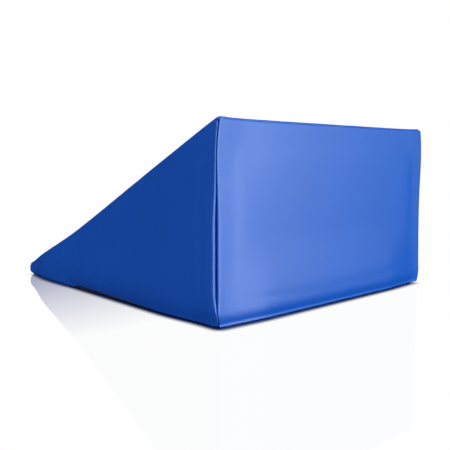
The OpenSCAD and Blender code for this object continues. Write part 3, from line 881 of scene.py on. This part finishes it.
def copy_of(node, name):
    """A copy of a CAD piece, its flat faces made whole."""
    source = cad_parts[node]
    mesh = bpy.data.meshes.new(name)
    corners = [v.co[:] for v in source.data.vertices]
    mesh.from_pydata(corners, [], [tuple(p.vertices) for p in source.data.polygons])
    obj = bpy.data.objects.new(name, mesh)
    bpy.context.scene.collection.objects.link(obj)
    outward(obj)
    bpy.ops.object.mode_set(mode="EDIT")
    bpy.ops.mesh.dissolve_limited(angle_limit=math.radians(2))
    bpy.ops.object.mode_set(mode="OBJECT")
    return obj


def round_edges(obj, axis, wanted, offset):
    """Rounds the edges that run along the axis and whose middle passes the test."""
    pick(obj)
    bpy.ops.object.mode_set(mode="EDIT")
    bpy.ops.mesh.select_mode(type="EDGE")
    bpy.ops.mesh.select_all(action="DESELECT")
    bpy.ops.object.mode_set(mode="OBJECT")
    points = read_points(obj)
    for edge in obj.data.edges:
        first, last = points[edge.vertices[0]], points[edge.vertices[1]]
        run = np.abs(last - first)
        edge.select = bool(run[axis] > 0.9 * run.sum() and wanted(*(first + last) / 2))
    bpy.ops.object.mode_set(mode="EDIT")
    bpy.ops.mesh.bevel(offset=offset, segments=4, affect="EDGES")
    bpy.ops.object.mode_set(mode="OBJECT")


def ease(obj, width):
    """Takes the sharpness off a small metal piece's edges."""
    finish_modifier(obj, "BEVEL", width=width, segments=2, limit_method="ANGLE", angle_limit=math.radians(35))
    pick(obj)
    bpy.ops.object.shade_smooth_by_angle(angle=math.radians(40))
    return obj


def slider_body(name):
    """Die-cast slider: plates with rounded corners, and a crown with rounded shoulders."""
    obj = copy_of("zip_slider", name)
    low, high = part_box("zip_slider")
    middle = (low + high) / 2
    half_l, half_h = (high.y - low.y) / 2, (high.z - low.z) / 2

    def at_corner(x, y, z):
        return abs(y - middle.y) > half_l - 0.1 * MM and abs(z - middle.z) > half_h - 0.1 * MM

    round_edges(obj, 0, at_corner, 1.5 * MM)
    round_edges(obj, 2, lambda x, y, z: x > high.x - 0.1 * MM, 0.7 * MM)
    return ease(obj, 0.15 * MM)


def pull_tab(name):
    """Flat pull with a round end and a hole through it."""
    obj = copy_of("zip_pull", name)
    low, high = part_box("zip_pull")
    middle = (low + high) / 2
    end_r = (high.z - low.z) / 2
    deselect()
    bpy.ops.mesh.primitive_cylinder_add(
        vertices=32, radius=1.3 * MM, depth=6 * MM,
        location=(middle.x, low.y + end_r, middle.z), rotation=(0, math.pi / 2, 0),
    )
    drill = named("drill")
    finish_modifier(obj, "BOOLEAN", operation="DIFFERENCE", object=drill)
    bpy.data.objects.remove(drill)
    return ease(obj, 0.18 * MM)


# ---------------------------------------------------------------- materials
def colour(text):
    """Linear colour from an sRGB hex value."""
    values = [int(text[i:i + 2], 16) / 255 for i in (0, 2, 4)]
    return [c / 12.92 if c <= 0.04045 else ((c + 0.055) / 1.055) ** 2.4 for c in values] + [1.0]


def add_node(tree, kind, settings=None, **inputs):
    """Adds a node. Settings are its properties; inputs are values or output sockets to link."""
    node = tree.nodes.new(kind)
    for key, value in (settings or {}).items():
        setattr(node, key, value)
    for key, value in inputs.items():
        numbered = key[0] == "i" and key[1:].isdigit()
        socket = node.inputs[int(key[1:]) if numbered else key.replace("_", " ")]
        if isinstance(value, bpy.types.NodeSocket):
            tree.links.new(value, socket)
        else:
            socket.default_value = value
    return node


def new_material(name):
    material = bpy.data.materials.new(name)
    material.use_nodes = True
    tree = material.node_tree
    return material, tree, tree.nodes["Principled BSDF"]


def vinyl_material():
    """PVC-coated polyester, calendered with a fine leather grain: satin, slightly uneven gloss."""
    material, tree, shader = new_material("pvc_coated_polyester")
    place = add_node(tree, "ShaderNodeTexCoord").outputs["Object"]
    grain = add_node(
        tree, "ShaderNodeTexVoronoi", {"feature": "SMOOTH_F1"}, Vector=place, Scale=1 / (1.1 * MM)
    )
    soft = add_node(tree, "ShaderNodeTexNoise", None, Vector=place, Scale=1 / (110 * MM), Detail=3.0)
    smudge = add_node(tree, "ShaderNodeTexNoise", None, Vector=place, Scale=1 / (22 * MM), Detail=4.0)
    tone = add_node(tree, "ShaderNodeValToRGB", None, Fac=soft.outputs["Fac"])
    tone.color_ramp.elements[0].position = 0.3
    tone.color_ramp.elements[0].color = colour("0a5dd6")
    tone.color_ramp.elements[1].position = 0.7
    tone.color_ramp.elements[1].color = colour("0a60dc")
    tree.links.new(tone.outputs["Color"], shader.inputs["Base Color"])
    rough = add_node(tree, "ShaderNodeMapRange", None, Value=smudge.outputs["Fac"], To_Min=0.29, To_Max=0.35)
    tree.links.new(rough.outputs["Result"], shader.inputs["Roughness"])
    bump = add_node(
        tree, "ShaderNodeBump", None, Height=grain.outputs["Distance"], Strength=0.12, Distance=0.2 * MM
    )
    tree.links.new(bump.outputs["Normal"], shader.inputs["Normal"])
    shader.inputs["Specular IOR Level"].default_value = 0.5
    return material


def plain_material(name, shade, roughness, cell, strength, specular=0.4):
    """A base colour broken up by a fine grain of the given size."""
    material, tree, shader = new_material(name)
    place = add_node(tree, "ShaderNodeTexCoord").outputs["Object"]
    grain = add_node(tree, "ShaderNodeTexNoise", None, Vector=place, Scale=1 / cell, Detail=3.0)
    ramp = add_node(tree, "ShaderNodeValToRGB", None, Fac=grain.outputs["Fac"])
    base = colour(shade)
    ramp.color_ramp.elements[0].position = 0.3
    ramp.color_ramp.elements[0].color = [c * 0.75 for c in base[:3]] + [1]
    ramp.color_ramp.elements[1].position = 0.7
    ramp.color_ramp.elements[1].color = [min(1, c * 1.2) for c in base[:3]] + [1]
    tree.links.new(ramp.outputs["Color"], shader.inputs["Base Color"])
    bump = add_node(
        tree, "ShaderNodeBump", None, Height=grain.outputs["Fac"], Strength=strength, Distance=0.3 * MM
    )
    tree.links.new(bump.outputs["Normal"], shader.inputs["Normal"])
    shader.inputs["Roughness"].default_value = roughness
    shader.inputs["Specular IOR Level"].default_value = specular
    return material


def tape_material():
    """Polyester zip tape, woven: a matt black with fine diagonal ribs."""
    rib_pitch = 0.8 * MM
    material, tree, shader = new_material("woven_polyester_tape")
    place = add_node(tree, "ShaderNodeTexCoord").outputs["Object"]
    rib = add_node(
        tree, "ShaderNodeTexWave", {"bands_direction": "DIAGONAL"},
        Vector=place, Scale=math.pi / 5 / rib_pitch,
    )
    ramp = add_node(tree, "ShaderNodeValToRGB", None, Fac=rib.outputs["Fac"])
    ramp.color_ramp.elements[0].color = colour("01041a")
    ramp.color_ramp.elements[1].color = colour("020a30")
    tree.links.new(ramp.outputs["Color"], shader.inputs["Base Color"])
    bump = add_node(tree, "ShaderNodeBump", None, Height=rib.outputs["Fac"], Strength=0.3, Distance=0.0002)
    tree.links.new(bump.outputs["Normal"], shader.inputs["Normal"])
    shader.inputs["Roughness"].default_value = 0.8
    shader.inputs["Specular IOR Level"].default_value = 0.05
    return material


# ---------------------------------------------------------------- camera, floor and light
def aim(obj, target):
    direction = Vector(target) - obj.location
    obj.rotation_euler = direction.to_track_quat("-Z", "Y").to_euler()


def softbox(name, place, target, size, power):
    light = bpy.data.lights.new(name, "AREA")
    light.shape = "RECTANGLE"
    light.size, light.size_y = size
    light.energy = power
    obj = bpy.data.objects.new(name, light)
    bpy.context.scene.collection.objects.link(obj)
    obj.location = place
    aim(obj, target)
    return obj


def set_camera():
    """A low view across the near back corner."""
    data = bpy.data.cameras.new("camera")
    data.sensor_width = 36
    data.lens = 49.37
    camera = bpy.data.objects.new("camera", data)
    bpy.context.scene.collection.objects.link(camera)
    camera.location = (-0.96385, -1.0996, 0.27879)
    camera.rotation_euler = (math.radians(90 - 5.864), 0, math.radians(-42.151))
    bpy.context.scene.camera = camera


def set_floor():
    """White studio floor with a soft sheen. The camera sees it evenly lit, apart from a painted contact
    shadow near the object.
    """
    deselect()
    bpy.ops.mesh.primitive_plane_add(size=40)
    floor = named("floor")
    material, tree, shader = new_material("white_acrylic_floor")
    tree.nodes.remove(shader)
    # Painted contact shadow: the floor's emitted white turns navy where ambient occlusion finds the object
    # within 16 mm
    open_sky = add_node(tree, "ShaderNodeAmbientOcclusion", {"samples": 16}, Distance=16 * MM)
    painted_contact_shadow = add_node(tree, "ShaderNodeValToRGB", None, Fac=open_sky.outputs["AO"])
    painted_contact_shadow.color_ramp.elements[0].position = 0.4
    painted_contact_shadow.color_ramp.elements[0].color = colour("10204a")
    painted_contact_shadow.color_ramp.elements[1].position = 0.97
    painted_contact_shadow.color_ramp.elements[1].color = (1, 1, 1, 1)
    white = add_node(tree, "ShaderNodeEmission", None, Color=painted_contact_shadow.outputs["Color"], Strength=1.0)
    mirror = add_node(tree, "ShaderNodeBsdfGlossy", None, Color=(1, 1, 1, 1), Roughness=0.0)
    place = add_node(tree, "ShaderNodeTexCoord").outputs["Object"]
    spot = add_node(tree, "ShaderNodeMapping", {"vector_type": "TEXTURE"}, Vector=place)
    spot.inputs["Location"].default_value = (-0.45, 0.38, 0)
    spot.inputs["Scale"].default_value = (0.62, 0.62, 1)
    fade = add_node(tree, "ShaderNodeTexGradient", {"gradient_type": "SPHERICAL"}, Vector=spot.outputs[0])
    share = add_node(tree, "ShaderNodeMapRange", None, Value=fade.outputs["Fac"], To_Min=0.03, To_Max=0.8)
    seen = add_node(
        tree, "ShaderNodeMixShader", None,
        Fac=share.outputs["Result"], i1=white.outputs[0], i2=mirror.outputs[0],
    )
    matt = add_node(tree, "ShaderNodeBsdfDiffuse", None, Color=(0.5, 0.5, 0.5, 1))
    path = add_node(tree, "ShaderNodeLightPath")
    both = add_node(
        tree, "ShaderNodeMixShader", None,
        Fac=path.outputs["Is Camera Ray"], i1=matt.outputs[0], i2=seen.outputs[0],
    )
    tree.links.new(both.outputs[0], tree.nodes["Material Output"].inputs["Surface"])
    floor.data.materials.append(material)
    floor.visible_glossy = False


def set_light():
    """Plain soft light: a large softbox low in front of the back face, one overhead, and a pale studio.
    Reflections see the studio brighter on the back face's side, and faintly warm."""
    world = bpy.data.worlds.new("studio")
    bpy.context.scene.world = world
    world.use_nodes = True
    world.cycles.sampling_method = "NONE"
    tree = world.node_tree
    dim = tree.nodes["Background"]
    way = add_node(tree, "ShaderNodeTexCoord").outputs["Generated"]
    lean = add_node(
        tree, "ShaderNodeVectorMath", {"operation": "DOT_PRODUCT"}, i0=way, i1=(-0.05, -0.985, 0.15)
    )
    glow = add_node(
        tree, "ShaderNodeMapRange", {"interpolation_type": "SMOOTHSTEP"},
        Value=lean.outputs["Value"], From_Min=0.48, From_Max=0.82, To_Min=0.01, To_Max=7.6,
    )
    dim.inputs["Color"].default_value = (1, 1, 0.77, 1)
    tree.links.new(glow.outputs["Result"], dim.inputs["Strength"])
    far = add_node(
        tree, "ShaderNodeMapRange", None,
        Value=lean.outputs["Value"], From_Min=-0.9, From_Max=-0.3, To_Min=0.12, To_Max=0.66,
    )
    soft = add_node(tree, "ShaderNodeBackground", None, Color=(1, 1, 1, 1), Strength=far.outputs["Result"])
    bright = add_node(tree, "ShaderNodeBackground", None, Color=(1, 1, 1, 1), Strength=1.0)
    path = add_node(tree, "ShaderNodeLightPath")
    seen = add_node(
        tree, "ShaderNodeMath", {"operation": "MAXIMUM"},
        i0=path.outputs["Is Camera Ray"], i1=path.outputs["Is Singular Ray"],
    )
    lit = add_node(
        tree, "ShaderNodeMixShader", None,
        Fac=path.outputs["Is Diffuse Ray"], i1=dim.outputs[0], i2=soft.outputs[0],
    )
    both = add_node(
        tree, "ShaderNodeMixShader", None, Fac=seen.outputs[0], i1=lit.outputs[0], i2=bright.outputs[0]
    )
    tree.links.new(both.outputs[0], tree.nodes["World Output"].inputs["Surface"])
    key = softbox("key_softbox", (1.05, -2.9, 0.35), (-0.2, -0.3, 0.15), (2.0, 3.4), 48)
    key.visible_glossy = False
    key.data.color = (0.8, 1.14, 0.79)
    softbox("top_softbox", (0.3, 0.8, 2.6), (0, 0, 0), (2.4, 2.4), 14)
    bpy.context.scene.view_settings.view_transform = "Standard"


# ---------------------------------------------------------------- making the mat
set_camera()
set_floor()
set_light()

vinyl = vinyl_material()
# Pale and dull, with open cells
foam = plain_material("cut_polyurethane_foam", "e9e3d2", 0.95, 1.4 * MM, 0.6, 0.2)
# A shade lighter than the vinyl, with a slight gloss
thread = plain_material("bonded_polyester_thread", "1c4fb4", 0.55, 0.4 * MM, 0.3, 0.4)
# Nearly black plastic, half matt
coil_plastic = plain_material("polyester_monofilament", "02071f", 0.5, 1.1 * MM, 0.05, 0.2)
# Black enamel, the glossiest part of the zip
enamel = plain_material("black_enamelled_zinc", "17171a", 0.3, 1.7 * MM, 0.08, 0.5)
woven = tape_material()

core = dress(foam_block("foam_wedge"), foam, "mat", "foam", "foam_core")

left = dress(side_panel("side_left", -1), vinyl, "mat", "vinyl", "side_panel_left")
right = dress(side_panel("side_right", 1), vinyl, "mat", "vinyl", "side_panel_right")
back = dress(back_panel("back_face"), vinyl, "mat", "vinyl", "back_panel")
incline = dress(incline_panel("incline"), vinyl, "mat", "vinyl", "incline_panel")
base = dress(base_panel("base"), vinyl, "mat", "vinyl", "base_panel")

stitch = stitch_model()
for side, word in ((-1, "left"), (1, "right")):
    outwards = np.array([side, 0, 0])
    row = stitches("stitches_incline_" + word, stitch, seam_line("incline", side), outwards + SLOPE_UP)
    dress(row, thread, "mat", "thread", "thread_incline_" + word)
    back_seam = seam_line("back", side, 4.6 * MM)
    row = stitches("stitches_back_" + word, stitch, back_seam, outwards - np.array([0, 1, 0]))
    dress(row, thread, "mat", "thread", "thread_back_" + word)
    row = stitches("stitches_base_" + word, stitch, seam_line("base", side), outwards - np.array([0, 0, 1]))
    dress(row, thread, "mat", "thread", "thread_base_" + word)
row = stitches("stitches_top_edge", stitch, seam_line("top"), (0, -0.5, 0.9))
dress(row, thread, "mat", "thread", "thread_top_edge")
row = stitches("stitches_toe", stitch, seam_line("toe"), (0, 0.1, -1))
dress(row, thread, "mat", "thread", "thread_toe")

TOPSTITCH_Z = 14.5 * MM
hem_path = zip_path(2.6 * MM, ZIP_Y, TOPSTITCH_Z)
_, hem_heading = walk(hem_path, STITCH_PITCH)
row = stitches("stitches_zip_upper", stitch, hem_path, np.cross(hem_heading, [0, 0, 1.0]))
dress(row, thread, "mat", "thread", "thread_zip_upper")
row = stitches("stitches_zip_lower", stitch, zip_path(13 * MM, ZIP_Y, 0.8 * MM), (0, 0.01, -1))
dress(row, thread, "mat", "thread", "thread_zip_lower")
bpy.data.objects.remove(stitch)

upper = tape("tape_upper", [(TAPE_IN, tape_low.z), (TAPE_IN, 13 * MM), (TAPE_IN, tape_high.z)], TAPE_END_Y)
dress(upper, woven, "mat", "zip_tape", "zip_tape_upper")
lower = tape(
    "tape_lower",
    [(18 * MM, foot_low.z + 0.1 * MM), (TAPE_IN + 1.5 * MM, foot_low.z + 0.1 * MM),
     (TAPE_IN, foot_low.z + 1.2 * MM), (TAPE_IN, foot_high.z)],
    TAPE_END_Y,
)
dress(lower, woven, "mat", "zip_tape", "zip_tape_lower")
for name, up, z, phase, node in (
    ("coil_upper", 1, (upper_low.z + upper_high.z) / 2, 0.0, "zip_coil_upper"),
    ("coil_lower", -1, (lower_low.z + lower_high.z) / 2, 0.7 * MM, "zip_coil_lower"),
):
    dress(coil(name, up, z, phase), coil_plastic, "mat", "zip_coil", node)
for name, node in (("top_stops", "zip_top_stops"), ("bottom_stop", "zip_bottom_stop")):
    dress(ease(copy_of(node, name), 0.25 * MM), enamel, "mat", "zip_metal", node)
dress(slider_body("slider"), enamel, "slider", "zip_metal", "zip_slider")
dress(pull_tab("pull_tab"), enamel, "pull", "zip_metal", "zip_pull")
